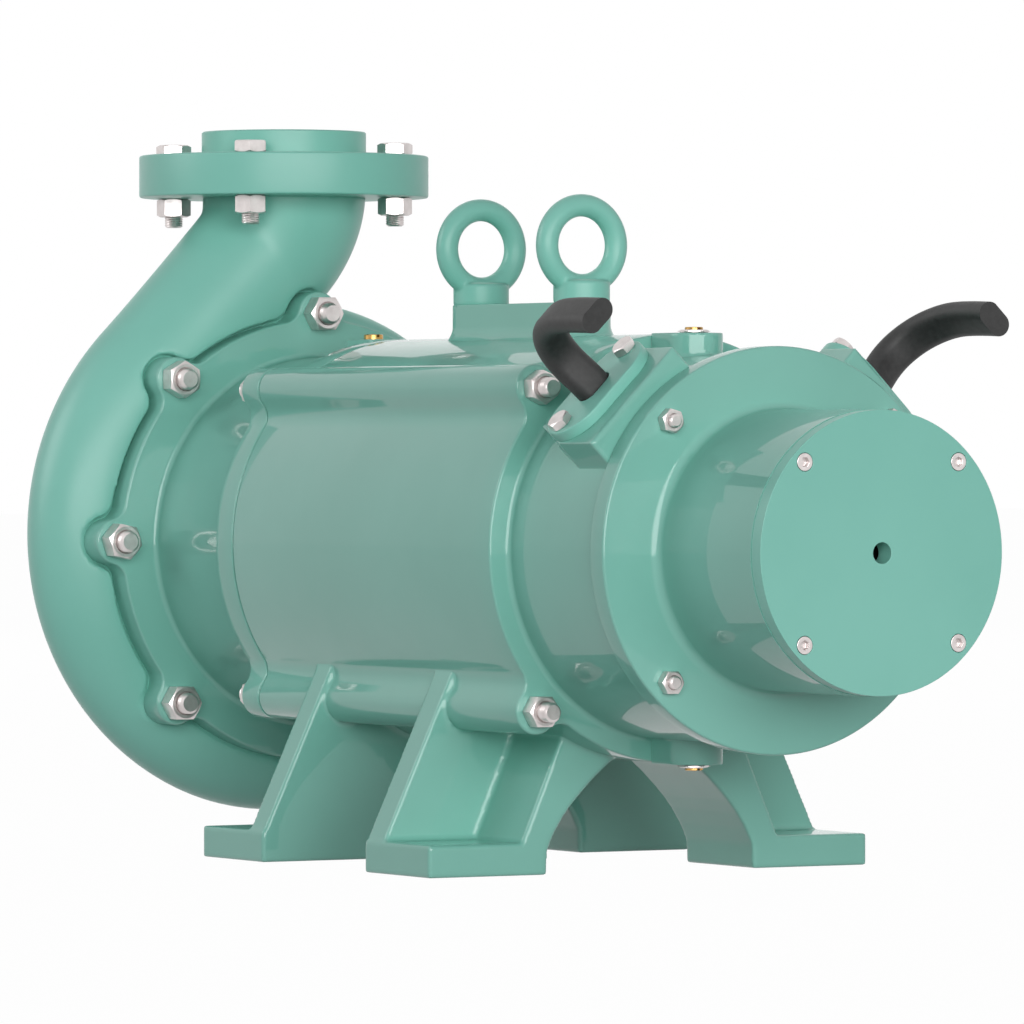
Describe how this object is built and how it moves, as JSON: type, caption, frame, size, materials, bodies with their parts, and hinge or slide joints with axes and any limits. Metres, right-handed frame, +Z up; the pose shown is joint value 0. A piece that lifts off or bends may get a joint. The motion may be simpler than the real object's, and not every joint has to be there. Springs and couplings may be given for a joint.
{
  "type": "openwell submersible pump",
  "caption": "Horizontal openwell submersible pump: spiral volute with a flanged upward discharge, bolted to a water-tight motor on feet, with lifting eyes and cable entries.",
  "frame": {"origin": "centre of the suction mouth, on the shaft axis", "axes": "+X along the shaft from the suction mouth to the motor's end cover, +Z up"},
  "size_m": [0.823, 0.3515, 0.464],
  "materials": {
    "paint": "gloss sea-green enamel",
    "zinc": "bright zinc plate",
    "stainless": "turned stainless steel",
    "brass": "turned brass",
    "bronze": "cast and turned bronze",
    "machined_iron": "machined",
    "core_steel": "stacked sheet, varnished",
    "copper": "copper",
    "gasket": "pressed fibre sheet",
    "rubber": "matt",
    "cable_sheath": "smooth matt rubber sheath",
    "carbon": "pressed carbon",
    "ceramic": "ground"
  },
  "bodies": {
    "housing": {"adapter_bracket": "paint", "adapter_nuts": "zinc", "adapter_plug": "brass", "adapter_studs": "zinc", "brass_plugs": "brass", "cable_left": "cable_sheath", "cable_right": "cable_sheath", "companion_flange": "paint", "cover_screws": "zinc", "diaphragm": "rubber", "discharge_bolts": "zinc", "discharge_gasket": "gasket", "discharge_nuts": "zinc", "end_bell": "paint", "end_cover": "paint", "front_bush": "bronze", "gland_bolts_left": "zinc", "gland_bolts_right": "zinc", "gland_plate_left": "paint", "gland_plate_right": "paint", "grommet_left": "rubber", "grommet_right": "rubber", "lifting_eyes": "paint", "plug_bushes": "zinc", "rear_bush": "bronze", "rear_housing": "paint", "ring_nuts": "zinc", "ring_studs": "zinc", "seal_seat": "ceramic", "stator_core": "core_steel", "stator_housing": "paint", "stator_winding": "copper", "thrust_carrier": "machined_iron", "thrust_pad": "carbon", "tie_nuts_front": "zinc", "tie_nuts_rear": "zinc", "tie_rods": "zinc", "volute_casing": "paint", "wear_ring": "bronze"},
    "rotor": {"shaft": "stainless", "impeller": "bronze", "impeller_key": "stainless", "impeller_nut": "stainless", "seal_ring": "carbon", "sand_slinger": "rubber", "rotor_core": "core_steel", "rotor_cage": "copper", "thrust_disc": "stainless"}
  },
  "joints": [
    {"name": "shaft_spin", "type": "hinge", "parent": "housing", "child": "rotor", "pos_m": [0, 0, 0], "axis": [1, 0, 0], "continuous": true}
  ]
}
